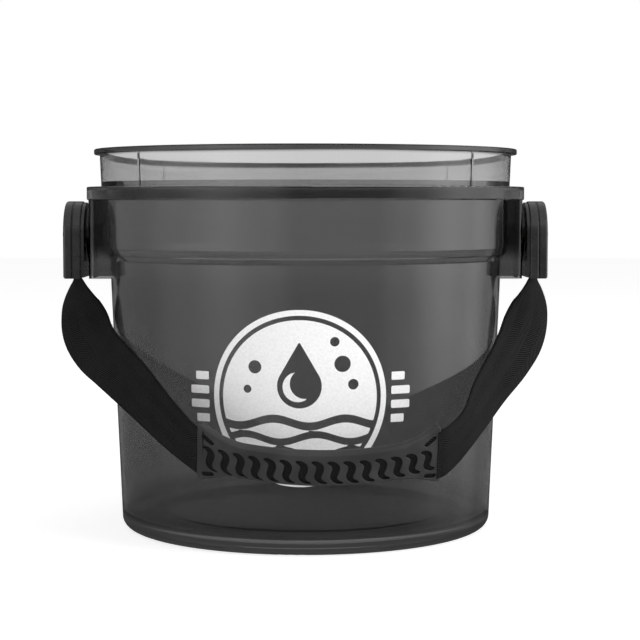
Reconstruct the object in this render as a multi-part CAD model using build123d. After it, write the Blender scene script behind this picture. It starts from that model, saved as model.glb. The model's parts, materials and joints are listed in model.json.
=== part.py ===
from build123d import *
import os
from math import asin, cos, hypot, radians, sin, sqrt

# Wash bucket with a swivelling webbing handle.
# Frame: millimetres, origin on the bucket's axis at the plane it stands on, +Z up,
# +X through the right-hand swivel, and the handle hanging on the -Y side.

# ---- bucket moulding ----
RIM_HEIGHT = 260.0
WALL = 2.3
BASE_RADIUS = 127.7          # outer wall carried down to z = 0
WALL_TAPER = 0.0425          # growth of the outer radius per mm of height
BASE_CORNER = 7.5
FLOOR_CORNER = 6.0
FOOT_INNER_RADIUS = 112.5
FOOT_RECESS_DEPTH = 5.0
FLOOR_RIM_TOP = 7.5
FLOOR_TOP = 12.0
FLOOR_DISC_RADIUS = 99.0
FLOOR_SLOPE = 6.0            # width of the slope around the raised disc
STEP_BOTTOM = 184.5
STEP_EDGE = 188.8
STEP_TOP = 193.3
STEP_ROUND = 1.2             # how far the step's edge stands inside the upper wall
UPPER_RADIUS = 140.0
FLANGE_RADIUS = 151.0
FLANGE_TOP = 234.4
FLANGE_PLATE = 2.5
SKIRT_BOTTOM = 225.5
SKIRT = 2.6
NECK_RADIUS = 141.0
NECK_FLARE = 0.9
LIP_RADIUS = 145.8
LIP_UNDERSIDE = 256.4
MOUTH_RADIUS = 139.0
MOUTH_BOTTOM = 238.0
MOUTH_LEAD = 4.0             # height of the slope below the straight mouth
EDGE_ROUND = 0.8             # small radius on the rim and flange edges
RIB_ANGLES = (-131.0, -49.0, 49.0, 131.0)
RIB_DEPTH = 2.0
RIB_WIDTH = 1.6
RIB_SINK = 0.5               # how far a rib runs into its neighbours

# ---- ears and pivots ----
PIVOT_HEIGHT = 201.6
EAR_WIDTH = 47.0
EAR_FACE = 148.6
EAR_BOTTOM = 171.7
EAR_WALL = 2.4
EAR_CORNER = 4.0
EAR_ROOT = 107.7             # where the ear's solids start, inside the wall
BOSS_FACE = 151.2
BOSS_RADIUS = 19.0
BOSS_SINK = 1.0
BOSS_EDGE = 0.8
BOSS_TUBE_RADIUS = 8.0
INSERT_RADIUS = 4.2
INSERT_LENGTH = 11.0
THREAD_RADIUS = 2.5
THREAD_END_GAP = 1.0
SHOULDER_RADIUS = 5.0
HEAD_RADIUS = 6.2
HEAD_THICKNESS = 2.8
HEAD_WASHER_RADIUS = 6.7
SOCKET_RADIUS = 2.9
SOCKET_DEPTH = 1.8
WASHER = 0.6
FRICTION_WASHER_RADIUS = 12.0
RUNNING_GAP = 0.08

# ---- swivel connectors, stations counted outward from the boss face ----
SWIVEL_RADIUS = 23.0
SWIVEL_DROP = 29.9           # pivot to flat bottom
BACK_PLATE = 1.9
BACK_PLATE_MARGIN = 0.8      # how far it stays inside the shells' outline
INNER_SHELL = 6.0
OUTER_SHELL = 6.3
INNER_EDGE = 1.2
OUTER_EDGE = 1.8
MOUTH_DEPTH = 6.5
MOUTH_GAP = 7.2
CLAMP_GAP = 3.9
CLAMP_TOP = 17.0             # top of the clamp pocket above the flat bottom
POCKET_WIDTH = 39.4
POCKET_RADIUS = 7.4
CAP_RADIUS = 7.6
CAP_RISE = 2.9
CAP_SKIRT = 1.8
CAP_SKIRT_WALL = 1.0
CAP_GAP = 0.1
CLAMP_SCREW_OFFSET = 11.0
CLAMP_SCREW_RADIUS = 1.5
CLAMP_SCREW_HEAD = 2.8
CLAMP_HEAD_DEPTH = 1.6
CLAMP_SCREW_BITE = 4.0       # how far the screws reach past the inner shell
CLAMP_HOLE_GAP = 0.1
STRAP_END_BOTTOM_GAP = 0.4
STRAP_END_TOP_GAP = 0.6

# ---- webbing and grip ----
STRAP_WIDTH = 38.0
STRAP_THICKNESS = 1.8
# Points along the middle of each free stretch from swivel to grip,
# each with the direction across the webbing towards its upper edge.
RIGHT_ROUTE = (
    ((158.8, -0.5, 168.8), (-0.28, -0.96, 0.00)),
    ((157.0, -2.5, 151.0), (-0.69, -0.65, 0.33)),
    ((151.0, -10.5, 134.5), (-0.73, -0.34, 0.60)),
    ((142.0, -25.0, 120.5), (-0.52, -0.27, 0.81)),
    ((129.0, -48.0, 106.5), (-0.29, -0.30, 0.91)),
    ((113.0, -85.0, 91.0), (-0.15, -0.31, 0.94)),
    ((99.0, -122.0, 77.0), (0.06, -0.36, 0.93)),
    ((88.5, -141.5, 70.3), (0.09, -0.42, 0.90)),
)
LEFT_ROUTE = (
    ((-158.8, -0.5, 168.8), (0.28, -0.96, 0.00)),
    ((-157.0, -2.5, 151.0), (0.75, -0.58, 0.31)),
    ((-152.0, -10.0, 136.5), (0.81, -0.18, 0.56)),
    ((-144.5, -24.5, 126.0), (0.61, -0.07, 0.79)),
    ((-133.0, -46.0, 117.5), (0.38, -0.13, 0.92)),
    ((-110.5, -84.0, 102.5), (0.26, -0.26, 0.93)),
    ((-87.0, -120.5, 84.5), (0.10, -0.40, 0.91)),
    ((-70.5, -141.5, 72.8), (0.00, -0.50, 0.87)),
)
GRIP_LEFT = (-67.5, -145.0, 70.5)
GRIP_RIGHT = (85.0, -144.5, 69.0)
GRIP_SAG = 14.0
GRIP_SAG_LEAN = 52.0         # degrees from straight down towards -Y
GRIP_LEAN = 32.0             # degrees by which the grip's upper edge leans out
GRIP_STATIONS = 9
GRIP_END_HEIGHT = 41.5
GRIP_WAIST_HEIGHT = 23.5
GRIP_END_THICKNESS = 4.6
GRIP_WAIST_THICKNESS = 6.6
GRIP_CORE_GAP = 0.3
GRIP_CORE_WAIST = 18.5
GRIP_CORE_FOLD = 3.7
GRIP_CORNER = 1.7
GRIP_CHANNEL_CORNER = 0.8
GRIP_CORE_CORNER = 0.5


def outer_radius(height):
    return BASE_RADIUS + WALL_TAPER * height


def revolved(section):
    """Solid of revolution about Z from a face drawn in the XZ plane."""
    return revolve(Plane.XZ * section, Axis.Z)


def wall_section():
    """Half section of the bucket moulding, outside first and then inside."""
    arc_top = (outer_radius(BASE_CORNER), BASE_CORNER)
    arc_start = (arc_top[0] - BASE_CORNER, 0)
    lean = sin(radians(45)) * BASE_CORNER
    arc_middle = (arc_start[0] + lean, BASE_CORNER - lean)
    step_radius = outer_radius(STEP_BOTTOM)
    skirt_inner = FLANGE_RADIUS - SKIRT
    plate_bottom = FLANGE_TOP - FLANGE_PLATE
    skirt_edge = (FLANGE_RADIUS, SKIRT_BOTTOM)
    flange_edge = (FLANGE_RADIUS, FLANGE_TOP)
    lip_low = (LIP_RADIUS, LIP_UNDERSIDE)
    lip_high = (LIP_RADIUS, RIM_HEIGHT)
    mouth_edge = (MOUTH_RADIUS, RIM_HEIGHT)
    floor_corner_top = FLOOR_RIM_TOP + FLOOR_CORNER
    outside = [
        arc_top,
        (step_radius, STEP_BOTTOM),
        (UPPER_RADIUS - STEP_ROUND, STEP_EDGE),
        (UPPER_RADIUS, STEP_TOP),
        (UPPER_RADIUS, plate_bottom),
        (skirt_inner, plate_bottom),
        (skirt_inner, SKIRT_BOTTOM),
        skirt_edge,
        flange_edge,
        (NECK_RADIUS, FLANGE_TOP),
        (NECK_RADIUS + NECK_FLARE, LIP_UNDERSIDE),
        lip_low,
        lip_high,
        mouth_edge,
        (MOUTH_RADIUS, MOUTH_BOTTOM),
        (UPPER_RADIUS - WALL, MOUTH_BOTTOM - MOUTH_LEAD),
        (UPPER_RADIUS - WALL, STEP_TOP),
        (UPPER_RADIUS - WALL - STEP_ROUND, STEP_EDGE),
        (step_radius - WALL, STEP_BOTTOM),
        (outer_radius(floor_corner_top) - WALL, floor_corner_top),
    ]
    inner_base = outer_radius(FLOOR_RIM_TOP) - WALL
    disc_bottom = FLOOR_TOP - WALL
    floor = [
        (inner_base - FLOOR_CORNER, FLOOR_RIM_TOP),
        (FLOOR_DISC_RADIUS + FLOOR_SLOPE, FLOOR_RIM_TOP),
        (FLOOR_DISC_RADIUS, FLOOR_TOP),
        (0, FLOOR_TOP),
        (0, disc_bottom),
        (FLOOR_DISC_RADIUS - WALL / 2, disc_bottom),
        (FLOOR_DISC_RADIUS + FLOOR_SLOPE - WALL / 2, FOOT_RECESS_DEPTH),
        (FOOT_INNER_RADIUS, FOOT_RECESS_DEPTH),
        (FOOT_INNER_RADIUS, 0),
        arc_start,
    ]
    inset = (1 - sin(radians(45))) * FLOOR_CORNER
    section = make_face(
        Polyline(*outside)
        + ThreePointArc(outside[-1], (inner_base - inset, FLOOR_RIM_TOP + inset), floor[0])
        + Polyline(*floor)
        + ThreePointArc(arc_start, arc_middle, arc_top)
    )
    sharp = (skirt_edge, flange_edge, lip_low, lip_high, mouth_edge)
    rounded = [corner for corner in section.vertices() if near_any(corner, sharp)]
    return fillet(rounded, EDGE_ROUND)


def near_any(vertex, places):
    return any(hypot(vertex.X - x, vertex.Y - y) < WALL / 10 for x, y in places)


def wall_core():
    """Everything inside the middle of the wall, which keeps the ears out of the bucket."""
    half = WALL / 2
    points = [
        (0, 0),
        (outer_radius(0) - half, 0),
        (outer_radius(STEP_BOTTOM) - half, STEP_BOTTOM),
        (UPPER_RADIUS - half, STEP_TOP),
        (UPPER_RADIUS - half, RIM_HEIGHT),
        (0, RIM_HEIGHT),
        (0, 0),
    ]
    return revolved(make_face(Polyline(*points)))


def along_x(station, thickness, sketch):
    """Extrude a sketch drawn in the YZ plane from one X station outward."""
    return extrude(Plane.YZ.offset(station) * sketch, thickness)


def pivot_disc(radius, station, thickness):
    return along_x(station, thickness, Pos(0, PIVOT_HEIGHT) * Circle(radius))


def ear(core):
    """Hollow ear on the +X side, open at the bottom, with its round pivot boss."""
    top = FLANGE_TOP - FLANGE_PLATE / 2
    height = top - EAR_BOTTOM
    block = Box(EAR_FACE - EAR_ROOT, EAR_WIDTH, height, align=(Align.MIN, Align.CENTER, Align.MIN))
    block = Pos(EAR_ROOT, 0, EAR_BOTTOM) * block
    block = fillet(block.edges().filter_by(Axis.Z).group_by(Axis.X)[-1], EAR_CORNER)
    pocket = Box(
        EAR_FACE - EAR_WALL - EAR_ROOT,
        EAR_WIDTH - 2 * EAR_WALL,
        height - 2 * EAR_WALL,
        align=(Align.MIN, Align.CENTER, Align.MIN),
    )
    pocket = Pos(EAR_ROOT, 0, EAR_BOTTOM) * pocket
    tube = pivot_disc(BOSS_TUBE_RADIUS, EAR_ROOT, EAR_FACE - EAR_ROOT)
    boss_start = EAR_FACE - BOSS_SINK
    boss = pivot_disc(BOSS_RADIUS, boss_start, BOSS_FACE - boss_start)
    boss = fillet(boss.edges().group_by(Axis.X)[-1], BOSS_EDGE)
    return (block - pocket + tube + boss) - core


def neck_rib(angle):
    """Thin upright rib on the outside of the neck."""
    height = LIP_UNDERSIDE - FLANGE_TOP + 2 * RIB_SINK
    rib = Box(RIB_DEPTH, RIB_WIDTH, height, align=(Align.CENTER, Align.CENTER, Align.MIN))
    return Rot(0, 0, angle - 90) * Pos(NECK_RADIUS + NECK_FLARE / 2, 0, FLANGE_TOP - RIB_SINK) * rib


def bucket_shell():
    core = wall_core()
    right = ear(core)
    shell = revolved(wall_section()) + right + mirror(right, Plane.YZ)
    for angle in RIB_ANGLES:
        shell += neck_rib(angle)
    bore = pivot_disc(INSERT_RADIUS, BOSS_FACE - INSERT_LENGTH, INSERT_LENGTH)
    return shell - bore - mirror(bore, Plane.YZ)


# ---- one swivel, built on the +X side ----
PLATE_START = BOSS_FACE + WASHER
INNER_START = PLATE_START + BACK_PLATE
SPLIT = INNER_START + INNER_SHELL
OUTER_END = SPLIT + OUTER_SHELL
SWIVEL_BOTTOM = PIVOT_HEIGHT - SWIVEL_DROP
CLAMP_HEIGHT = SWIVEL_BOTTOM + (MOUTH_DEPTH + CLAMP_TOP) / 2


def tombstone(margin=0.0):
    """Round-topped plate outline around the pivot, shrunk by a margin."""
    radius = SWIVEL_RADIUS - margin
    lower = Rectangle(2 * radius, SWIVEL_DROP - margin, align=(Align.CENTER, Align.MAX))
    return Pos(0, PIVOT_HEIGHT) * (Circle(radius) + lower)


def clamp_screw_places(station):
    return [Pos(station, side * CLAMP_SCREW_OFFSET, CLAMP_HEIGHT) for side in (-1, 1)]


def x_cylinder(radius, length):
    """Cylinder along +X from the origin."""
    return extrude(Plane.YZ * Circle(radius), length)


def strap_pocket():
    """Flared mouth and narrow clamp pocket, centred on the split between the shells."""
    mouth = Box(MOUTH_GAP, POCKET_WIDTH, MOUTH_DEPTH, align=(Align.CENTER, Align.CENTER, Align.MIN))
    clamp = Box(CLAMP_GAP, POCKET_WIDTH, CLAMP_TOP, align=(Align.CENTER, Align.CENTER, Align.MIN))
    return Pos(SPLIT, 0, SWIVEL_BOTTOM) * (mouth + clamp)


def clamp_screws():
    """Two countersunk screws driven from the bucket side."""
    screws = []
    for place in clamp_screw_places(INNER_START):
        upright = (Align.CENTER, Align.CENTER, Align.MIN)
        cone = Cone(CLAMP_SCREW_HEAD, CLAMP_SCREW_RADIUS, CLAMP_HEAD_DEPTH, align=upright)
        shank = x_cylinder(CLAMP_SCREW_RADIUS, INNER_SHELL + CLAMP_SCREW_BITE)
        screws.append(place * (Rot(0, 90, 0) * cone + shank))
    return screws


def back_plate():
    plate = along_x(PLATE_START, BACK_PLATE, tombstone(BACK_PLATE_MARGIN))
    return plate - pivot_disc(SHOULDER_RADIUS + RUNNING_GAP, PLATE_START, BACK_PLATE)


def inner_shell():
    shell = along_x(INNER_START, INNER_SHELL, tombstone())
    shell = fillet(shell.edges().group_by(Axis.X)[0], INNER_EDGE)
    shell -= pivot_disc(SHOULDER_RADIUS + RUNNING_GAP, INNER_START, INNER_SHELL)
    for screw in clamp_screws():
        shell -= screw
    return shell - strap_pocket()


def outer_shell():
    shell = along_x(SPLIT, OUTER_SHELL, tombstone())
    shell = fillet(shell.edges().group_by(Axis.X)[-1], OUTER_EDGE)
    shell -= pivot_disc(POCKET_RADIUS, SPLIT, OUTER_SHELL)
    for screw in clamp_screws():
        shell -= screw
    return shell - strap_pocket()


def strap_end():
    """Webbing doubled over inside the clamp pocket, punched for the clamp screws."""
    height = CLAMP_TOP - STRAP_END_TOP_GAP - STRAP_END_BOTTOM_GAP
    end = Box(2 * STRAP_THICKNESS, STRAP_WIDTH, height, align=(Align.CENTER, Align.CENTER, Align.MIN))
    end = Pos(SPLIT, 0, SWIVEL_BOTTOM + STRAP_END_BOTTOM_GAP) * end
    for place in clamp_screw_places(INNER_START):
        end -= place * x_cylinder(CLAMP_SCREW_RADIUS + CLAMP_HOLE_GAP, INNER_SHELL + OUTER_SHELL)
    return end


def pivot_screw():
    """Shoulder screw: thread in the insert, shoulder through the swivel, hex-socket head."""
    shoulder_end = SPLIT + WASHER
    thread_length = INSERT_LENGTH - THREAD_END_GAP
    thread = pivot_disc(THREAD_RADIUS, BOSS_FACE - thread_length, thread_length)
    shoulder = pivot_disc(SHOULDER_RADIUS, BOSS_FACE, shoulder_end - BOSS_FACE)
    head = pivot_disc(HEAD_RADIUS, shoulder_end, HEAD_THICKNESS)
    socket_start = shoulder_end + HEAD_THICKNESS - SOCKET_DEPTH
    socket = along_x(socket_start, SOCKET_DEPTH, Pos(0, PIVOT_HEIGHT) * RegularPolygon(SOCKET_RADIUS, 6))
    return thread + shoulder + head - socket


def ring(outer, inner, station, thickness):
    return pivot_disc(outer, station, thickness) - pivot_disc(inner, station, thickness)


def threaded_insert():
    return ring(INSERT_RADIUS, THREAD_RADIUS, BOSS_FACE - INSERT_LENGTH, INSERT_LENGTH)


def friction_washer():
    return ring(FRICTION_WASHER_RADIUS, SHOULDER_RADIUS + RUNNING_GAP, BOSS_FACE, WASHER)


def head_washer():
    return ring(HEAD_WASHER_RADIUS, SHOULDER_RADIUS + RUNNING_GAP, SPLIT, WASHER)


def pivot_cap():
    """Domed snap cap with a short hollow skirt inside the outer shell's pocket."""
    skirt_end = OUTER_END - CAP_SKIRT
    plug = POCKET_RADIUS - CAP_GAP
    edge = (OUTER_END, CAP_RADIUS)
    top = (OUTER_END + CAP_RISE, 0)
    dome_radius = (CAP_RADIUS**2 + CAP_RISE**2) / (2 * CAP_RISE)
    half_angle = asin(CAP_RADIUS / dome_radius) / 2
    middle = (top[0] - dome_radius * (1 - cos(half_angle)), dome_radius * sin(half_angle))
    outline = Polyline(
        top,
        (OUTER_END, 0),
        (OUTER_END, plug - CAP_SKIRT_WALL),
        (skirt_end, plug - CAP_SKIRT_WALL),
        (skirt_end, plug),
        (OUTER_END, plug),
        edge,
    ) + ThreePointArc(edge, middle, top)
    return Pos(0, 0, PIVOT_HEIGHT) * revolve(Plane.XZ * make_face(outline), Axis.X)


# ---- webbing and grip ----
def ribbon(route, width, thickness):
    """Solid through flat sections whose width follows the given direction."""
    points = [Vector(*point) for point, across in route]
    sections = []
    for index, (point, across) in enumerate(route):
        before = points[max(index - 1, 0)]
        after = points[min(index + 1, len(points) - 1)]
        plane = section_plane(points[index], Vector(*across), after - before)
        sections.append(plane * Rectangle(width, thickness))
    return loft(sections, ruled=True)


def section_plane(centre, across, forward):
    """Plane across a band: X runs along its width and Z along its length."""
    forward = forward.normalized()
    across = (across - forward * across.dot(forward)).normalized()
    return Plane(origin=centre, x_dir=across, z_dir=forward)


def grip_stations():
    """Planes along the sagging grip, each with its share of the way to the waist."""
    left, right = Vector(*GRIP_LEFT), Vector(*GRIP_RIGHT)
    lean, sag_lean = radians(GRIP_LEAN), radians(GRIP_SAG_LEAN)
    across = Vector(0, -sin(lean), cos(lean))
    sag = Vector(0, -sin(sag_lean), -cos(sag_lean)) * GRIP_SAG
    stations = []
    for index in range(GRIP_STATIONS):
        share = index / (GRIP_STATIONS - 1)
        waist = 4 * share * (1 - share)
        centre = left + (right - left) * share + sag * waist
        forward = (right - left) + sag * 4 * (1 - 2 * share)
        stations.append((section_plane(centre, across, forward), sqrt(waist)))
    return stations


def blend_size(end, waist, share):
    return end + (waist - end) * share


def grip_body(height_change, thickness_change, corner):
    """Loft along the grip between end and waist sizes."""
    sections = []
    for plane, waist in grip_stations():
        height = blend_size(*height_change, waist)
        thickness = blend_size(*thickness_change, waist)
        sections.append(plane * RectangleRounded(height, thickness, corner))
    return loft(sections, ruled=True)


def grip_sleeve():
    heights = (GRIP_END_HEIGHT, GRIP_WAIST_HEIGHT)
    thicknesses = (GRIP_END_THICKNESS, GRIP_WAIST_THICKNESS)
    body = grip_body(heights, thicknesses, GRIP_CORNER)
    gap = 2 * GRIP_CORE_GAP
    channel = grip_body(
        (STRAP_WIDTH + gap, GRIP_CORE_WAIST + gap),
        (STRAP_THICKNESS + gap, GRIP_CORE_FOLD + gap),
        GRIP_CHANNEL_CORNER,
    )
    return body - channel


def grip_webbing():
    heights = (STRAP_WIDTH, GRIP_CORE_WAIST)
    return grip_body(heights, (STRAP_THICKNESS, GRIP_CORE_FOLD), GRIP_CORE_CORNER)


def both_sides(name, shapes):
    """Right-hand solids as built and their mirror images on the left."""
    mirrored = [mirror(shape, Plane.YZ) for shape in shapes]
    return {
        f"right_{name}": Compound(children=shapes),
        f"left_{name}": Compound(children=mirrored),
    }


def all_parts():
    parts = {"bucket_shell": bucket_shell()}
    parts.update(both_sides("threaded_insert", [threaded_insert()]))
    parts.update(both_sides("pivot_screw", [pivot_screw()]))
    parts.update(both_sides("friction_washer", [friction_washer()]))
    parts.update(both_sides("head_washer", [head_washer()]))
    parts.update(both_sides("back_plate", [back_plate()]))
    parts.update(both_sides("inner_shell", [inner_shell()]))
    parts.update(both_sides("outer_shell", [outer_shell()]))
    parts.update(both_sides("clamp_screws", clamp_screws()))
    parts.update(both_sides("pivot_cap", [pivot_cap()]))
    parts.update(both_sides("strap_end", [strap_end()]))
    parts["left_webbing"] = ribbon(LEFT_ROUTE, STRAP_WIDTH, STRAP_THICKNESS)
    parts["right_webbing"] = ribbon(RIGHT_ROUTE, STRAP_WIDTH, STRAP_THICKNESS)
    parts["grip_sleeve"] = grip_sleeve()
    parts["grip_webbing"] = grip_webbing()
    return parts


os.makedirs("parts", exist_ok=True)
for name, shape in all_parts().items():
    export_step(shape, f"parts/{name}.step")
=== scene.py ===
import json
import math

import bpy
import numpy as np
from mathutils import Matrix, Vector


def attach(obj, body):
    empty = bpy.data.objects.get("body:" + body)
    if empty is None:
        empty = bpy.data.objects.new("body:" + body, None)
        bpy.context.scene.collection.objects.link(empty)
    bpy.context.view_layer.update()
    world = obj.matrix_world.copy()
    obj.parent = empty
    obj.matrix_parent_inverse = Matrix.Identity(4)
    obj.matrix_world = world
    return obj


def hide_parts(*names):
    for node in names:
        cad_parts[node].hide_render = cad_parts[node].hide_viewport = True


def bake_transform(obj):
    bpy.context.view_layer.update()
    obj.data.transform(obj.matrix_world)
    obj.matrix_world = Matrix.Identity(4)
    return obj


# Looks of the wash bucket: smoke-tinted moulding, woven webbing, slotted rubber grip,
# swivel connectors and a generic print. Metres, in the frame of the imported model.

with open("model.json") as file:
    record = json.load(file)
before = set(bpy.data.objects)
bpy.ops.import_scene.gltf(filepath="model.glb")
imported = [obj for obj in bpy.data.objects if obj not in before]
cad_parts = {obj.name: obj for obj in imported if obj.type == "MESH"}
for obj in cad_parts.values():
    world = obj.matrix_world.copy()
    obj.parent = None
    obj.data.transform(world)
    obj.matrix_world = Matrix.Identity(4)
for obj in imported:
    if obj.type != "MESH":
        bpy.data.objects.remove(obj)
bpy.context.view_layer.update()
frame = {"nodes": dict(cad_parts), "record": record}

MM = 0.001
SIDES = ("left", "right")

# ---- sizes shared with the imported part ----
WALL_FOOT_RADIUS = 127.7 * MM
WALL_TAPER = 0.0425  # radius gained per height
BUCKET_HEIGHT = 260.0 * MM
EAR_INNER_X = (126.0 * MM, 134.0 * MM)  # the dark tint of the ears fades in between these
EAR_HALF_WIDTH = 24.5 * MM
EAR_BOTTOM = (184.0 * MM, 192.0 * MM)
EAR_TOP = 225.5 * MM
SHELL_SEAM = 159.9 * MM
STRAP_WIDTH = 38.0 * MM
STRAP_THICKNESS = 1.8 * MM
ROUTES = {  # points along the webbing in millimetres, each with its direction across the band
    "right": (
        ((158.8, -0.5, 177.5), (0.00, -1.00, 0.00)),
        ((158.8, -0.5, 169.5), (-0.28, -0.96, 0.00)),
        ((157.0, -2.5, 151.0), (-0.69, -0.65, 0.33)),
        ((151.0, -10.5, 134.5), (-0.73, -0.34, 0.60)),
        ((142.0, -25.0, 120.5), (-0.52, -0.27, 0.81)),
        ((129.0, -48.0, 106.5), (-0.29, -0.30, 0.91)),
        ((113.0, -85.0, 91.0), (-0.15, -0.31, 0.94)),
        ((99.0, -122.0, 77.0), (0.06, -0.36, 0.93)),
        ((88.5, -141.5, 70.3), (0.06, -0.44, 0.90)),
        ((81.5, -146.6, 67.2), (0.00, -0.53, 0.85)),
    ),
    "left": (
        ((-158.8, -0.5, 177.5), (0.00, -1.00, 0.00)),
        ((-158.8, -0.5, 169.5), (0.28, -0.96, 0.00)),
        ((-157.0, -2.5, 151.0), (0.75, -0.58, 0.31)),
        ((-152.0, -10.0, 136.5), (0.81, -0.18, 0.56)),
        ((-144.5, -24.5, 126.0), (0.61, -0.07, 0.79)),
        ((-133.0, -46.0, 117.5), (0.38, -0.13, 0.92)),
        ((-110.5, -84.0, 102.5), (0.26, -0.26, 0.93)),
        ((-87.0, -120.5, 84.5), (0.10, -0.40, 0.91)),
        ((-70.5, -141.5, 72.8), (0.00, -0.50, 0.87)),
        ((-63.0, -147.2, 68.6), (0.00, -0.53, 0.85)),
    ),
}

# ---- webbing ----
ROUTE_STEPS = 14
SECTION_COLUMNS = 22
SECTION_CORNER_STEPS = 4
SECTION_THICKNESS = 0.05  # of the unit-wide outline that band() stretches
WEBBING_LIGHTNESS = 0.030
TWILL_RIBS = 19.0  # ribs, yarns and edge cords in one band width
YARNS = 60.0
EDGE_CORDS = 55.0

# ---- grip ----
GRIP_LEFT = Vector((-66.1, -145.0, 70.5)) * MM
GRIP_RIGHT = Vector((82.6, -144.5, 69.0)) * MM
GRIP_SAG = 14.2 * MM
GRIP_SAG_LEAN = math.radians(52)
GRIP_LEAN = math.radians(32)
GRIP_WAIST_HEIGHT = 25.4 * MM
GRIP_FLARE = 22.5 * MM
GRIP_FLARE_REACH = 30.0 * MM
GRIP_FLARE_POWER = 1.9
GRIP_END_THICKNESS = 4.2 * MM
GRIP_WAIST_THICKNESS = 6.2 * MM
GRIP_CORNER = 3.0 * MM
GRIP_STATION_STEP = 0.55 * MM
GRIP_FRONT_STEPS = 58
GRIP_BACK_STEPS = 12
GRIP_SIDE_STEPS = 4
GRIP_TURN_STEPS = 7
GRIP_EDGE_ROUND = 1.5 * MM
GRIP_WALL = 1.0 * MM
GRIP_CHAMFER = 0.35 * MM
SLOT_COUNT = 15
SLOT_PITCH = 9.7 * MM
SLOT_REACH = 12.0 * MM
SLOT_SPINE_STEPS = 7
SLOT_DROP = 1.4  # millimetres below the middle, and how much more at the grip's ends
SLOT_END_DROP = 0.9
SLOT_SQUEEZE = 0.1  # the rightmost slot is this much shorter, with a blunter tail than the others
TAIL_START = 6.0
TAIL_FADE = 3.0
TAIL_TUCK = 0.25
TAIL_SWELL = 0.8 * MM
CORNER_SLOT_RADIUS = 1.7 * MM
CORNER_SLOTS = (  # both ends of each: way in from the grip's end and height, in millimetres
    ((4.2, 14.2), (8.9, 10.6)),
    ((4.4, -16.0), (9.0, -14.6)),
)
SLOT_SPINE = (  # x to the right, y up and half width, in millimetres
    (-3.4, 8.1, 1.35),
    (-1.6, 7.4, 1.9),
    (0.1, 5.5, 2.2),
    (0.5, 2.8, 2.3),
    (-0.1, -0.4, 2.3),
    (-0.8, -3.4, 2.1),
    (-0.3, -6.2, 1.75),
    (1.7, -8.3, 1.1),
    (4.6, -9.4, 0.45),
)
CORE_REACH = (0.02, 0.98)  # the strap inside the grip starts and stops at these shares of it
CORE_STATIONS = 120
CORE_MARGIN = 3.2 * MM
CORE_END_THICKNESS = 1.7 * MM
CORE_GATHER = 1.9 * MM

# ---- cut shells ----
CUT_MARGIN = 0.06  # no cut comes nearer to a grid point than this share of its edge
RIM_STEPS = 6

# ---- print ----
PRINT_CENTRE_X = -4.0 * MM
PRINT_CENTRE_Z = 101.0 * MM
PRINT_STEP = 0.8 * MM
PRINT_HALF_WIDTH = 74.0 * MM
PRINT_HALF_HEIGHT = 60.0 * MM
PRINT_LIFT = 0.03 * MM
PRINT_THICKNESS = 0.12 * MM
BADGE_RING = (52.4, 56.0)  # the badge's own measures are in millimetres
BADGE_DISC = 49.6
BADGE_DROP = (8.0, 14.0)  # height of its round part's middle, and radius
BADGE_GLINT = ((-1.0, 7.5), (3.5, 9.5), 9.5)  # a crescent: one disc less another, and their radius
BADGE_WAVES = ((-15.0, 2.6), (-25.0, 2.3), (-34.5, 2.0))  # level and half width
WAVE_HEIGHT = 2.4
WAVE_LENGTH = 7.2  # for one radian
BADGE_BUBBLES = ((27, 22, 5.2), (34, 9, 3.4), (-28, 20, 4.2), (-33, 6, 2.6), (22, 36, 3.0))
BADGE_BARS = ((13.5, 69.0), (4.5, 73.0), (-4.5, 73.0), (-13.5, 69.0))  # level and outer end
BAR_START = 59.6
BAR_HALF_WIDTH = 2.6

# ---- looks and light ----
FOOT_GLOW = 0.030  # lifts the foot, where many wall layers overlap and would render black
FOOT_GLOW_FADE = (0.009, 0.013)
FLOOR_RADIUS = 6.0
FLOOR_SIDES = 96
FLOOR_DROP = 0.0002
FLOOR_GLOW = 0.74
LIGHT_TARGET = (0, 0, 0.13)
SOFTBOXES = (  # name, place, width, height and radiance
    ("softbox_right", (2.4, -1.2, 1.1), 1.2, 1.6, 7.0),
    ("softbox_front", (-0.5, -2.6, 1.3), 1.6, 1.0, 4.0),
    ("softbox_top", (0.3, 0.2, 2.6), 1.4, 1.2, 1.6),
)
BOX_STRENGTH = 2.0
TOP_STRENGTH = 0.55
SOFT_STRENGTH = 0.34
BOX_RAMP = (  # azimuth from straight in front, to the right, and the reflected light there
    (-180, 0.03),
    (-105, 0.03),
    (-75, 0.25),
    (-46, 0.60),
    (-22, 0.32),
    (-3, 0.04),
    (38, 0.05),
    (56, 0.35),
    (84, 0.95),
    (108, 0.60),
    (134, 0.12),
    (155, 0.03),
)
BOX_BOTTOM = (-0.26, -0.12)  # upward parts of the direction between which the boxes fade in
BOX_TOP = (0.35, 0.6)  # and between which they give way to the top light
CAMERA_PLACE = Vector((0.0, -1.240, 0.224))
CAMERA_AIM = Vector((0.00998, 0.0, 0.14184))
CAMERA_LENS = 100.04
CAMERA_SENSOR = 36.0


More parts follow.
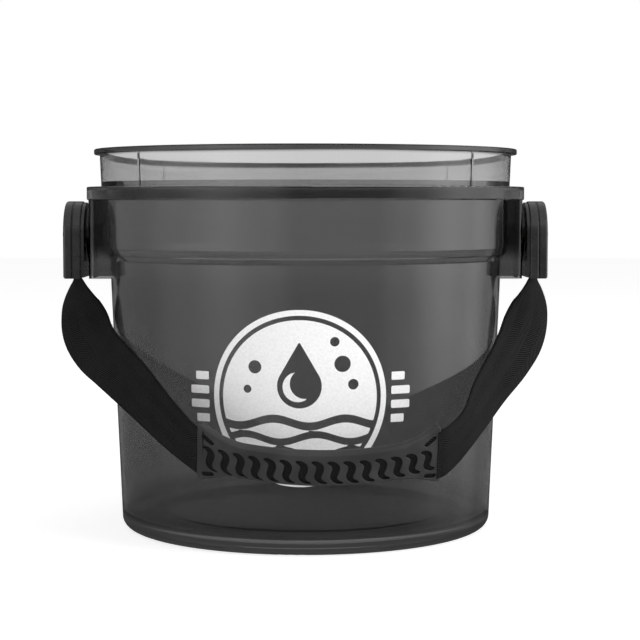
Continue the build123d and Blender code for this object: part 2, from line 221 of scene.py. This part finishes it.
# ---------------------------------------------------------------- materials
class Nodes:
    """Short names for building the node tree of a material or world."""

    def __init__(self, owner, shader):
        owner.use_nodes = True
        self.tree = owner.node_tree
        self.shader = next(n for n in self.tree.nodes if n.type == shader)

    def add(self, kind, inputs=None, **settings):
        node = self.tree.nodes.new(kind)
        for key, value in settings.items():
            setattr(node, key, value)
        for key, value in (inputs or {}).items():
            self.put(node.inputs[key], value)
        return node

    def put(self, socket, value):
        if isinstance(value, bpy.types.NodeSocket):
            self.tree.links.new(value, socket)
        else:
            socket.default_value = value

    def set(self, **values):
        for key, value in values.items():
            self.put(self.shader.inputs[key.replace("_", " ")], value)

    def math(self, operation, a, b=0.0, c=0.0):
        node = self.add("ShaderNodeMath", operation=operation)
        for socket, value in zip(node.inputs, (a, b, c)):
            self.put(socket, value)
        return node.outputs[0]

    def split(self, vector):
        return self.add("ShaderNodeSeparateXYZ", {"Vector": vector}).outputs

    def ramp(self, value, stops):
        node = self.add("ShaderNodeValToRGB", {"Fac": value})
        node.color_ramp.interpolation = "EASE"
        elements = node.color_ramp.elements
        while len(elements) < len(stops):
            elements.new(0.5)
        for element, (place, colour) in zip(elements, stops):
            element.position = place
            element.color = (*colour, 1.0)
        return node.outputs["Color"]

    def range(self, value, low, high, to_low, to_high):
        names = ("Value", "From Min", "From Max", "To Min", "To Max")
        inputs = dict(zip(names, (value, low, high, to_low, to_high)))
        return self.add("ShaderNodeMapRange", inputs).outputs[0]

    def mix(self, factor, a, b):
        return self.add("ShaderNodeMix", {"Factor": factor, "A": a, "B": b}).outputs[0]


class Surface(Nodes):
    """A new material with the textures and bumps that surfaces need."""

    def __init__(self, name):
        self.material = bpy.data.materials.new(name)
        super().__init__(self.material, "BSDF_PRINCIPLED")

    def position(self):
        return self.add("ShaderNodeTexCoord").outputs["Object"]

    def noise(self, scale, detail=3.0, rough=0.5):
        inputs = {"Scale": scale, "Detail": detail, "Roughness": rough, "Vector": self.position()}
        return self.add("ShaderNodeTexNoise", inputs).outputs["Fac"]

    def bump(self, height, distance, strength=1.0, normal=None):
        inputs = {"Height": height, "Distance": distance, "Strength": strength}
        if normal is not None:
            inputs["Normal"] = normal
        return self.add("ShaderNodeBump", inputs).outputs["Normal"]


def grey(value):
    return (value, value, value)


def smoke_plastic():
    """Smoke-tinted clear moulding: deep in wall and ears, light in the neck, dark in the lip."""
    m = Surface("smoke_plastic")
    place = m.split(m.position())
    height = m.range(place["Z"], 0.0, BUCKET_HEIGHT, 0.0, 1.0)
    drift = m.math("MULTIPLY_ADD", m.noise(9.0, 1.0), 0.012, -0.006)
    tint = m.ramp(
        m.math("ADD", height, drift),
        (
            (0.00, grey(0.15)),
            (0.055, grey(0.16)),
            (0.09, grey(0.24)),
            (0.60, grey(0.26)),
            (0.76, grey(0.32)),
            (0.9005, grey(0.33)),
            (0.9035, grey(0.65)),
            (0.9835, grey(0.67)),
            (0.986, grey(0.09)),
        ),
    )
    aside = m.range(m.math("ABSOLUTE", place["X"]), *EAR_INNER_X, 0.0, 1.0)
    level = m.math("LESS_THAN", m.math("ABSOLUTE", place["Y"]), EAR_HALF_WIDTH)
    deep = m.range(place["Z"], *EAR_BOTTOM, 0.25, 1.0)
    under = m.math("LESS_THAN", place["Z"], EAR_TOP)
    ear = m.math("MULTIPLY", m.math("MULTIPLY", aside, level), m.math("MULTIPLY", deep, under))
    dark = m.math("MULTIPLY_ADD", ear, -0.72, 1.0)
    tint = m.add("ShaderNodeVectorMath", {0: tint, 1: dark}, operation="MULTIPLY").outputs[0]
    rough = m.range(m.noise(30.0, 2.0, 0.5), 0.35, 0.7, 0.02, 0.05)
    m.set(Base_Color=tint, Roughness=rough, Normal=m.bump(m.noise(14.0, 1.0), 0.0006, 0.3))
    m.set(Transmission_Weight=1.0, IOR=1.49)
    lit, unlit = FOOT_GLOW_FADE
    glow = ((0.0, grey(FOOT_GLOW)), (lit, grey(FOOT_GLOW)), (unlit, grey(0.0)))
    m.set(Emission_Color=m.ramp(place["Z"], glow), Emission_Strength=1.0)
    black = (0.0, 0.0, 0.0, 1.0)
    dense = m.add("ShaderNodeVolumeAbsorption", {"Color": black, "Density": 40.0})
    output = next(n for n in m.tree.nodes if n.type == "OUTPUT_MATERIAL")
    m.put(output.inputs["Volume"], dense.outputs[0])
    return m.material


def black_plastic():
    """Semi-gloss moulded connector shells with a fine spark-eroded skin."""
    m = Surface("black_plastic")
    cloud = m.noise(60.0, 4.0)
    aside = m.math("ABSOLUTE", m.split(m.position())["X"])
    # painted shade: the colour is darkened along the seam between the two shells; the same mask
    # also sinks the groove in the bump
    seam = m.math("ABSOLUTE", m.math("SUBTRACT", aside, SHELL_SEAM))
    seam = m.range(seam, 0.00015, 0.0008, 0.0, 1.0)
    shade = m.math("MULTIPLY", cloud, seam)
    m.set(Base_Color=m.ramp(shade, ((0.0, grey(0.001)), (0.3, grey(0.014)), (0.7, grey(0.028)))))
    m.set(Roughness=m.range(m.noise(220.0), 0.3, 0.7, 0.16, 0.30), IOR=1.5)
    skin = m.bump(m.noise(2600.0, 2.0), 0.00004, 0.3)
    m.set(Normal=m.bump(seam, 0.0007, 1.0, skin))
    m.set(Coat_Weight=0.35, Coat_Roughness=0.12)
    return m.material


def turned_metal(name, low, high, roughness):
    """Turned metal with fine rings and slight tarnish."""
    m = Surface(name)
    cloud = m.noise(300.0, 4.0)
    m.set(Base_Color=m.ramp(cloud, ((0.3, low), (0.7, high))))
    m.set(Metallic=1.0, Roughness=m.range(cloud, 0.3, 0.7, roughness, roughness + 0.12))
    inputs = {"Vector": m.position(), "Scale": 900.0, "Distortion": 0.6}
    rings = m.add("ShaderNodeTexWave", inputs, wave_type="RINGS", rings_direction="X")
    m.set(Normal=m.bump(rings.outputs["Fac"], 0.00002, 0.3))
    return m.material


def nylon():
    """Dark, slightly cloudy nylon of the friction washers."""
    m = Surface("nylon")
    cloud = m.noise(500.0)
    m.set(Base_Color=m.ramp(cloud, ((0.3, grey(0.03)), (0.7, grey(0.06)))))
    m.set(Roughness=0.45, Normal=m.bump(cloud, 0.00003, 0.4))
    return m.material


def webbing():
    """Herringbone nylon webbing. UV x runs across the band and y along it, both in band widths."""
    m = Surface("webbing")
    uv = m.split(m.add("ShaderNodeUVMap").outputs["UV"])
    across, along = uv["X"], uv["Y"]

    def ridges(place, count):
        """Rounded ridges from 0 to 1, with count of them in one band width."""
        wave = m.math("SINE", m.math("MULTIPLY", place, 2 * math.pi * count))
        return m.math("MULTIPLY_ADD", wave, 0.5, 0.5)

    zigzag = m.math("PINGPONG", across, 0.2)
    twill = ridges(m.math("MULTIPLY_ADD", zigzag, 1.15, along), TWILL_RIBS)
    yarn = ridges(across, YARNS)
    edge = m.math("ABSOLUTE", m.math("SUBTRACT", across, 0.5))
    selvedge = m.range(edge, 0.455, 0.475, 0.0, 1.0)
    cord = m.math("MULTIPLY", ridges(along, EDGE_CORDS), selvedge)
    weave = m.math("MULTIPLY_ADD", yarn, 0.3, twill)
    body = m.math("MULTIPLY", weave, m.math("SUBTRACT", 1.0, selvedge))
    relief = m.math("ADD", body, cord)
    fuzz = m.noise(1500.0, 4.0, 0.7)
    wear = m.noise(30.0)
    # painted shade: the base colour follows the weave's relief, rib tops and edge cords lighter,
    # the grooves between them darker
    shade = m.math("MULTIPLY", relief, m.range(wear, 0.3, 0.7, 0.8, 1.1))
    shares = ((0.1, 0.02), (0.55, 0.25), (1.0, 1.0))
    m.set(Base_Color=m.ramp(shade, [(at, grey(WEBBING_LIGHTNESS * share)) for at, share in shares]))
    m.set(Roughness=m.range(fuzz, 0.3, 0.7, 0.42, 0.62), Specular_IOR_Level=0.12)
    woven = m.bump(relief, 0.0006, 1.0)
    m.set(Normal=m.bump(fuzz, 0.00008, 0.4, woven))
    m.set(Sheen_Weight=0.02, Sheen_Roughness=0.4, Sheen_Tint=(0.5, 0.5, 0.5, 1.0))
    return m.material


def grip_rubber():
    """Soft dark rubber, fine-grained, with a painted highlight that makes the ridges paler."""
    m = Surface("grip_rubber")
    grain = m.noise(2200.0, 3.0, 0.6)
    cloud = m.noise(45.0, 4.0)
    # painted highlight: convex ridges, found by pointiness, get a paler base colour
    painted_ridge_highlight = m.add("ShaderNodeNewGeometry").outputs["Pointiness"]
    painted_ridge_highlight = m.range(painted_ridge_highlight, 0.51, 0.56, 0.0, 1.0)
    shade = m.math("MULTIPLY_ADD", painted_ridge_highlight, 0.35, m.math("MULTIPLY", cloud, 0.65))
    m.set(Base_Color=m.ramp(shade, ((0.2, grey(0.030)), (0.6, grey(0.050)), (1.0, grey(0.090)))))
    m.set(Roughness=m.range(grain, 0.3, 0.7, 0.40, 0.62), Specular_IOR_Level=0.5)
    m.set(Normal=m.bump(grain, 0.00010, 0.45))
    return m.material


def white_print():
    """Screen-printed ink with a slightly uneven lay-down."""
    m = Surface("white_print")
    lay = m.noise(700.0, 4.0, 0.6)
    m.set(Base_Color=m.ramp(lay, ((0.3, grey(0.80)), (0.7, grey(0.90)))))
    m.set(Roughness=0.42, Normal=m.bump(lay, 0.00002, 0.4))
    return m.material


MATERIALS = {
    "smoke_plastic": smoke_plastic(),
    "black_plastic": black_plastic(),
    "steel": turned_metal("steel", grey(0.48), grey(0.62), 0.22),
    "brass": turned_metal("brass", (0.42, 0.33, 0.16), (0.62, 0.48, 0.24), 0.30),
    "nylon": nylon(),
    "webbing": webbing(),
    "grip_rubber": grip_rubber(),
    "white_print": white_print(),
}

for row in frame["record"]["subparts"]:
    cad_object = frame["nodes"][row["node"]]
    cad_object.data.materials.clear()
    cad_object.data.materials.append(MATERIALS[row["material_slot"]])


# ---------------------------------------------------------------- mesh helpers
def link(name, data):
    """A new object in the scene, holding data."""
    made = bpy.data.objects.new(name, data)
    bpy.context.scene.collection.objects.link(made)
    return made


def add_object(name, vertices, faces, material):
    mesh = bpy.data.meshes.new(name)
    mesh.from_pydata([tuple(v) for v in vertices], [], faces)
    mesh.validate()
    mesh.materials.append(MATERIALS[material])
    piece = link(name, mesh)
    return piece


def turn_towards(made, target):
    """Points a light or camera at target."""
    made.rotation_mode = "QUATERNION"
    made.rotation_quaternion = (Vector(target) - made.location).to_track_quat("-Z", "Y")


def smooth(piece, angle):
    """Smooth shading, with edges kept sharp above angle degrees."""
    mesh = piece.data
    mesh.polygons.foreach_set("use_smooth", [True] * len(mesh.polygons))
    mesh.set_sharp_from_angle(angle=math.radians(angle))


def spline(points, steps):
    """Catmull-Rom curve through rows of numbers, with even steps on each span."""
    points = np.array(points, float)
    padded = np.vstack([2 * points[0] - points[1], points, 2 * points[-1] - points[-2]])
    rows = []
    for a, b, c, d in zip(padded, padded[1:], padded[2:], padded[3:]):
        bend, twist = 2 * a - 5 * b + 4 * c - d, 3 * b - a - 3 * c + d
        for t in np.arange(steps) / steps:
            rows.append(0.5 * (2 * b + (c - a) * t + bend * t**2 + twist * t**3))
    rows.append(points[-1])
    return np.array(rows)


def unit(rows):
    return rows / np.linalg.norm(rows, axis=-1, keepdims=True)


def lengths_along(centres):
    """Distance from the first of centres to each of them, along the line through them."""
    steps = np.linalg.norm(np.diff(centres, axis=0), axis=1)
    return np.concatenate([[0], np.cumsum(steps)])


def across_and_normal(centres, across):
    """Unit directions across a band and out of its face, square to its run."""
    run = unit(np.gradient(centres, axis=0))
    across = unit(across - run * np.sum(across * run, axis=1, keepdims=True))
    return across, np.cross(across, run)


# ---------------------------------------------------------------- webbing
def band_outline():
    """Closed, unit-wide outline of the webbing's section with rounded edges."""
    half = SECTION_THICKNESS / 2
    middle = 0.5 - half
    flat = np.linspace(-1, 1, SECTION_COLUMNS) * middle
    turn = np.linspace(0, math.pi, SECTION_CORNER_STEPS + 1)[1:-1]
    points = [(x, half) for x in flat]
    points += [(middle + half * math.sin(a), half * math.cos(a)) for a in turn]
    points += [(x, -half) for x in flat[::-1]]
    points += [(-middle - half * math.sin(a), -half * math.cos(a)) for a in turn]
    return np.array(points)


def band(name, centres, across, width, thickness):
    """Closed webbing band along centres; width and thickness are numbers or one per station."""
    across, normal = across_and_normal(centres, across)
    outline = band_outline()
    width = np.broadcast_to(width, len(centres))
    thickness = np.broadcast_to(thickness, len(centres))
    along = lengths_along(centres)
    ring = len(outline)
    vertices = []
    for i, centre in enumerate(centres):
        x = outline[:, :1] * width[i]
        y = outline[:, 1:] / SECTION_THICKNESS * thickness[i]
        vertices.append(centre + x * across[i] + y * normal[i])
    vertices = np.concatenate(vertices)
    faces = []
    for i in range(len(centres) - 1):
        for j in range(ring):
            k = (j + 1) % ring
            faces.append((i * ring + j, i * ring + k, (i + 1) * ring + k, (i + 1) * ring + j))
    last = (len(centres) - 1) * ring
    faces.append(tuple(range(ring))[::-1])
    faces.append(tuple(last + j for j in range(ring)))
    piece = add_object(name, vertices, faces, "webbing")
    layer = piece.data.uv_layers.new(name="UVMap")
    for loop in piece.data.loops:
        i, j = divmod(loop.vertex_index, ring)
        layer.data[loop.index].uv = (outline[j, 0] + 0.5, along[i] / STRAP_WIDTH)
    smooth(piece, 50)
    return piece


def webbing_band(side):
    """One free stretch of the strap, which bends from its swivel to the handle."""
    rows = spline([(*point, *across) for point, across in ROUTES[side]], ROUTE_STEPS)
    centres, across = rows[:, :3] * MM, unit(rows[:, 3:])
    piece = band(f"{side}_webbing_band", centres, across, STRAP_WIDTH, STRAP_THICKNESS)
    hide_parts(f"{side}_webbing")
    if side == "left":
        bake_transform(piece)
    else:
        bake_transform(piece)


# ---------------------------------------------------------------- grip
def grip_line(shares):
    """Centres, across directions and waist shares along the sagging grip."""
    left, right = np.array(GRIP_LEFT), np.array(GRIP_RIGHT)
    sag = np.array((0, -math.sin(GRIP_SAG_LEAN), -math.cos(GRIP_SAG_LEAN))) * GRIP_SAG
    waist = 4 * shares * (1 - shares)
    centres = left + (right - left) * shares[:, None] + sag * waist[:, None]
    across = np.tile((0, -math.sin(GRIP_LEAN), math.cos(GRIP_LEAN)), (len(shares), 1))
    return centres, across, np.sqrt(np.clip(waist, 0, 1))


def grip_height(inward):
    """Height of the sleeve at a distance in from its nearer end."""
    flare = GRIP_FLARE * max(0.0, 1 - inward / GRIP_FLARE_REACH) ** GRIP_FLARE_POWER
    short = max(0.0, GRIP_CORNER - inward)
    return GRIP_WAIST_HEIGHT + flare - 2 * (GRIP_CORNER - math.sqrt(GRIP_CORNER**2 - short**2))


def rounded_section(height, thickness, corner):
    """Points and outward normals round one grip section, starting at the lower front corner,
    and each point's height above the middle if it is on the front face, else NaN."""
    a, b = height / 2 - corner, thickness / 2 - corner
    points, normals, front = [], [], []

    def face(start, end, normal, steps, is_front=False):
        for t in np.linspace(0, 1, steps, endpoint=False):
            points.append(tuple(s + (e - s) * t for s, e in zip(start, end)))
            normals.append(normal)
            front.append(points[-1][0] if is_front else np.nan)

    def turn(centre, first):
        for t in np.linspace(0, math.pi / 2, GRIP_TURN_STEPS, endpoint=False):
            direction = (math.sin(first + t), math.cos(first + t))
            points.append((centre[0] + corner * direction[0], centre[1] + corner * direction[1]))
            normals.append(direction)
            front.append(np.nan if t else points[-1][0])

    tall, half = height / 2, thickness / 2
    face((-a, half), (a, half), (0, 1), GRIP_FRONT_STEPS, True)
    turn((a, b), 0)
    face((tall, b), (tall, -b), (1, 0), GRIP_SIDE_STEPS)
    turn((a, -b), math.pi / 2)
    face((a, -half), (-a, -half), (0, -1), GRIP_BACK_STEPS)
    turn((-a, -b), math.pi)
    face((-tall, -b), (-tall, b), (-1, 0), GRIP_SIDE_STEPS)
    turn((-a, b), 1.5 * math.pi)
    return np.array(points), np.array(normals), np.array(front)


def slot_field(x, y, length):
    """Distance to the nearest slot's edge, negative inside it, for points on the front face.
    x runs from the left end, y up from the middle."""
    spine = spline(SLOT_SPINE, SLOT_SPINE_STEPS) * MM
    field = np.full(x.shape, 1.0)
    first = length / 2 - SLOT_PITCH * (SLOT_COUNT - 1) / 2
    for index in range(SLOT_COUNT):
        share = index / (SLOT_COUNT - 1)
        centre = first + index * SLOT_PITCH
        drop = (SLOT_DROP + SLOT_END_DROP * abs(2 * share - 1)) * MM
        near = np.abs(x - centre) < SLOT_REACH
        for px, py, radius in spine:
            tail = share * min(1.0, max(0.0, -py / MM - TAIL_START) / TAIL_FADE)
            px, radius = px * (1 - TAIL_TUCK * tail), radius + TAIL_SWELL * tail
            py = (py + TAIL_SWELL * tail) * (1 - SLOT_SQUEEZE * share) - drop
            gap = np.hypot(x[near] - centre - px, y[near] - py) - radius
            field[near] = np.minimum(field[near], gap)
    for mirrored in (False, True):
        inward = length - x if mirrored else x
        for ends in CORNER_SLOTS:
            a, b = np.array(ends) * MM
            dx, dy = b - a
            t = ((inward - a[0]) * dx + (y - a[1]) * dy) / (dx**2 + dy**2)
            t = np.clip(t, 0, 1)
            gap = np.hypot(inward - a[0] - dx * t, y - a[1] - dy * t)
            field = np.minimum(field, gap - CORNER_SLOT_RADIUS)
    return field


def cut_shell(points, normals, depth, field, level, wraps):
    """Closed shell over a grid of points, open where field is below level. A level above 0 also
    chamfers the edges of the openings by that much. Returns vertices and faces."""
    rows, columns = field.shape
    slope = np.stack(np.gradient(field), axis=-1)
    vertices = [*points.reshape(-1, 3), *(points - normals * depth[..., None]).reshape(-1, 3)]
    inner = rows * columns
    cuts, faces, rims = {}, [], []

    def shift(i, j):
        """Unit direction on the surface towards larger field."""
        i0, i1 = max(i - 1, 0), min(i + 1, rows - 1)
        j0, j1 = (j - 1) % columns, (j + 1) % columns
        if not wraps:
            j0, j1 = max(j - 1, 0), min(j + 1, columns - 1)
        du = points[i1, j] - points[i0, j]
        dv = points[i, j1] - points[i, j0]
        move = du * slope[i, j, 0] / (du @ du) * (i1 - i0)
        move = move + dv * slope[i, j, 1] / (dv @ dv) * 2
        return move / max(np.linalg.norm(move), 1e-12)

    def cut(a, b):
        """First of three vertices, from outer to inner, where the edge from a to b is cut."""
        key = (min(a, b), max(a, b))
        if key not in cuts:
            a, b = key
            fa, fb = field[a], field[b]
            t = min(max((level - fa) / (fb - fa), CUT_MARGIN), 1 - CUT_MARGIN)
            point = points[a] * (1 - t) + points[b] * t
            normal = normals[a] * (1 - t) + normals[b] * t
            thick = depth[a] * (1 - t) + depth[b] * t
            out = shift(*a) * (1 - t) + shift(*b) * t
            foot = point - out * level
            start = len(vertices)
            lip = level if level > 0 else thick / 3
            vertices.extend((point, foot - normal * lip, foot - normal * thick))
            cuts[key] = start
        return cuts[key]

    def flat(c):
        return c[0] * columns + c[1]

    last = columns if wraps else columns - 1
    for i in range(rows - 1):
        for j in range(last):
            k = (j + 1) % columns
            cell = ((i, j), (i, k), (i + 1, k), (i + 1, j))
            inside = [field[c] > level for c in cell]
            if all(inside):
                quad = [flat(c) for c in cell]
                faces.append(quad)
                faces.append([inner + v for v in reversed(quad)])
                continue
            if not any(inside):
                continue
            top, bottom, crossing = [], [], []
            for n, c in enumerate(cell):
                following = (n + 1) % 4
                if inside[n]:
                    top.append(flat(c))
                    bottom.append(inner + flat(c))
                if inside[n] != inside[following]:
                    start = cut(c, cell[following])
                    top.append(start)
                    bottom.append(start + 2)
                    crossing.append((start, inside[n]))
            faces.append(top)
            faces.append(bottom[::-1])
            for n, (start, leaving) in enumerate(crossing):
                if leaving:
                    rims.append((start, crossing[(n + 1) % len(crossing)][0]))
    for a, b in rims:
        faces.append((b, a, a + 1, b + 1))
        faces.append((b + 1, a + 1, a + 2, b + 2))
    return vertices, faces


def close_ends(vertices, faces, rows, columns, outward):
    """Rounded rims joining the shell's outer and inner skins at its first and last rows."""
    inner = rows * columns
    for row, direction in ((0, -outward[0]), (rows - 1, outward[1])):
        before = [row * columns + j for j in range(columns)]
        for angle in np.linspace(0, math.pi, RIM_STEPS)[1:-1]:
            ring = []
            for j in range(columns):
                top = np.array(vertices[row * columns + j])
                bottom = np.array(vertices[inner + row * columns + j])
                bulge = direction * np.linalg.norm(top - bottom) / 2 * math.sin(angle)
                ring.append(len(vertices))
                vertices.append((top + bottom) / 2 + (top - bottom) / 2 * math.cos(angle) + bulge)
            faces.extend(bridge(before, ring, row == 0))
            before = ring
        after = [inner + row * columns + j for j in range(columns)]
        faces.extend(bridge(before, after, row == 0))


def bridge(first, second, reverse):
    """Quads between two rings of vertices."""
    count = len(first)
    quads = []
    for j in range(count):
        k = (j + 1) % count
        quad = (first[j], first[k], second[k], second[j])
        quads.append(quad if reverse else quad[::-1])
    return quads


def drop_loose(vertices, faces):
    """Keeps only the vertices that faces use."""
    used = sorted({v for face in faces for v in face})
    place = {v: n for n, v in enumerate(used)}
    return [vertices[v] for v in used], [[place[v] for v in face] for face in faces]


def grip():
    """The slotted rubber sleeve."""
    length = lengths_along(grip_line(np.linspace(0, 1, 400))[0])[-1]
    shares = np.linspace(0, 1, int(length / GRIP_STATION_STEP) + 1)
    centres, across, waist = grip_line(shares)
    across, normal = across_and_normal(centres, across)
    if normal[0][1] > 0:
        normal = -normal
    along = lengths_along(centres)
    points, normals, fields = [], [], []
    for i, centre in enumerate(centres):
        height = grip_height(min(along[i], along[-1] - along[i]))
        thickness = GRIP_END_THICKNESS + (GRIP_WAIST_THICKNESS - GRIP_END_THICKNESS) * waist[i]
        section, directions, front = rounded_section(height, thickness, GRIP_EDGE_ROUND)
        points.append(centre + section[:, :1] * across[i] + section[:, 1:] * normal[i])
        normals.append(directions[:, :1] * across[i] + directions[:, 1:] * normal[i])
        distance = slot_field(np.full(len(front), along[i]), np.nan_to_num(front, nan=1.0), length)
        fields.append(np.where(np.isnan(front), 1.0, distance))
    points, normals, fields = np.array(points), np.array(normals), np.array(fields)
    depth = np.full(fields.shape, GRIP_WALL)
    vertices, faces = cut_shell(points, normals, depth, fields, GRIP_CHAMFER, True)
    run = unit(np.gradient(centres, axis=0))
    close_ends(vertices, faces, *fields.shape, (run[0], run[-1]))
    vertices, faces = drop_loose(vertices, faces)
    piece = add_object("grip", vertices, faces, "grip_rubber")
    smooth(piece, 32)
    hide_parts("grip_sleeve")
    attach(piece, "handle")


def grip_core():
    """The strap inside the grip, gathered to a thick narrow band at the waist."""
    centres, across, waist = grip_line(np.linspace(*CORE_REACH, CORE_STATIONS))
    along = lengths_along(centres)
    inward = np.minimum(along, along[-1] - along)
    width = np.array([grip_height(x + GRIP_CORNER) - CORE_MARGIN for x in inward])
    thickness = CORE_END_THICKNESS + CORE_GATHER * waist
    piece = band("grip_core", centres, across, width, thickness)
    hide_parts("grip_webbing")
    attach(piece, "handle")


# ---------------------------------------------------------------- print
def disc(x, y, radius):
    """Distance to a disc's edge, negative inside it."""
    return np.hypot(x, y) - radius


def drop_shape(x, y, radius):
    """Distance-like field of a water drop with its round part at the origin."""
    cone = np.maximum(np.abs(x) * 0.87 + (y - 2.0 * radius) * 0.5, -y)
    return np.minimum(disc(x, y, radius), np.maximum(cone, -y + 0.5 * radius))


def ink(x, y):
    """Positive inside the printed badge: a ring, a disc with a drop and waves, and side bars."""
    x, y = x / MM, y / MM
    inner, outer = BADGE_RING
    badge = np.minimum(-disc(x, y, outer), disc(x, y, inner))
    body = -disc(x, y, BADGE_DISC)
    height, radius = BADGE_DROP
    drop = drop_shape(x, y - height, radius)
    (cx, cy), (dx, dy), radius = BADGE_GLINT
    glint = np.maximum(disc(x - cx, y - cy, radius), -disc(x - dx, y - dy, radius))
    body = np.minimum(body, np.maximum(drop, -glint))
    for level, half in BADGE_WAVES:
        wave = np.abs(y - level - WAVE_HEIGHT * np.sin(x / WAVE_LENGTH + level)) - half
        body = np.minimum(body, wave)
    for bx, by, radius in BADGE_BUBBLES:
        body = np.minimum(body, disc(x - bx, y - by, radius))
    badge = np.maximum(badge, body)
    for level, reach in BADGE_BARS:
        long = np.minimum(np.abs(x) - BAR_START, reach - np.abs(x))
        badge = np.maximum(badge, np.minimum(BAR_HALF_WIDTH - np.abs(y - level), long))
    return badge * MM


def wall_print():
    """A thin layer of ink on the front of the wall."""
    xs, ys = (
        np.arange(-half, half + PRINT_STEP, PRINT_STEP)
        for half in (PRINT_HALF_WIDTH, PRINT_HALF_HEIGHT)
    )
    x, y = np.meshgrid(xs, ys, indexing="ij")
    z = PRINT_CENTRE_Z + y
    radius = WALL_FOOT_RADIUS + WALL_TAPER * z + PRINT_LIFT + PRINT_THICKNESS
    angle = (x + PRINT_CENTRE_X) / (WALL_FOOT_RADIUS + WALL_TAPER * PRINT_CENTRE_Z)
    sine, cosine = np.sin(angle), np.cos(angle)
    normals = unit(np.stack([sine, -cosine, np.full(x.shape, -WALL_TAPER)], axis=-1))
    points = np.stack([radius * sine, -radius * cosine, z], axis=-1)
    depth = np.full(x.shape, PRINT_THICKNESS)
    vertices, faces = cut_shell(points, normals, depth, ink(x, y), 0.0, False)
    vertices, faces = drop_loose(vertices, faces)
    piece = add_object("bucket_print", vertices, faces, "white_print")
    smooth(piece, 40)
    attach(piece, "bucket")


for side in SIDES:
    webbing_band(side)
grip()
grip_core()
wall_print()


# ---------------------------------------------------------------- stage
def floor():
    """Pale, softly glowing studio floor, which the bucket doesn't mirror."""
    turns = np.arange(FLOOR_SIDES) * 2 * math.pi / FLOOR_SIDES
    x, y = FLOOR_RADIUS * np.cos(turns), FLOOR_RADIUS * np.sin(turns)
    vertices = [(*point, -FLOOR_DROP) for point in zip(x, y)]
    mesh = bpy.data.meshes.new("studio_floor")
    mesh.from_pydata(vertices, [], [tuple(range(FLOOR_SIDES))])
    m = Surface("studio_floor")
    m.set(Base_Color=(0.6, 0.6, 0.6, 1.0), Roughness=0.9, Specular_IOR_Level=0.1)
    m.set(Emission_Color=(1.0, 1.0, 1.0, 1.0), Emission_Strength=FLOOR_GLOW)
    mesh.materials.append(m.material)
    plane = link("studio_floor", mesh)
    plane.visible_glossy = False


def softbox(name, location, width, height, radiance):
    """Rectangular light of the given radiance, which lights the bucket but isn't seen."""
    data = bpy.data.lights.new(name, "AREA")
    data.shape = "RECTANGLE"
    data.size, data.size_y = width, height
    data.energy = radiance * math.pi * width * height
    lamp = link(name, data)
    lamp.location = location
    turn_towards(lamp, LIGHT_TARGET)
    lamp.visible_camera = False
    lamp.visible_transmission = False
    lamp.visible_glossy = False


def studio_world():
    """White to look at and through; reflections show two tall softboxes and a top light."""
    world = bpy.data.worlds.new("studio")
    w = Nodes(world, "BACKGROUND")
    direction = w.split(w.add("ShaderNodeTexCoord").outputs["Generated"])
    toward = w.math("MULTIPLY", direction["Y"], -1.0)
    azimuth = w.math("ARCTAN2", direction["X"], toward)
    turn = w.range(azimuth, -math.pi, math.pi, 0.0, 1.0)
    boxes = w.ramp(turn, [(degrees / 360 + 0.5, grey(light)) for degrees, light in BOX_RAMP])
    low = w.range(direction["Z"], *BOX_BOTTOM, 0.0, 1.0)
    high = w.range(direction["Z"], *BOX_TOP, 0.0, 1.0)
    boxes = w.math("MULTIPLY", w.math("MULTIPLY", boxes, low), BOX_STRENGTH)
    path = w.add("ShaderNodeLightPath").outputs
    lit = w.mix(path["Is Glossy Ray"], SOFT_STRENGTH, w.mix(high, boxes, TOP_STRENGTH))
    seen = w.math("MAXIMUM", path["Is Camera Ray"], path["Is Transmission Ray"])
    w.set(Color=(1.0, 1.0, 1.0, 1.0), Strength=w.mix(seen, lit, 1.0))
    world.cycles.sampling_method = "NONE"
    bpy.context.scene.world = world


def camera():
    data = bpy.data.cameras.new("camera")
    data.lens = CAMERA_LENS
    data.sensor_width = CAMERA_SENSOR
    view = link("camera", data)
    view.location = CAMERA_PLACE
    turn_towards(view, CAMERA_AIM)
    bpy.context.scene.camera = view


floor()
for row in SOFTBOXES:
    softbox(*row)
studio_world()
camera()
bpy.context.scene.view_settings.view_transform = "Standard"
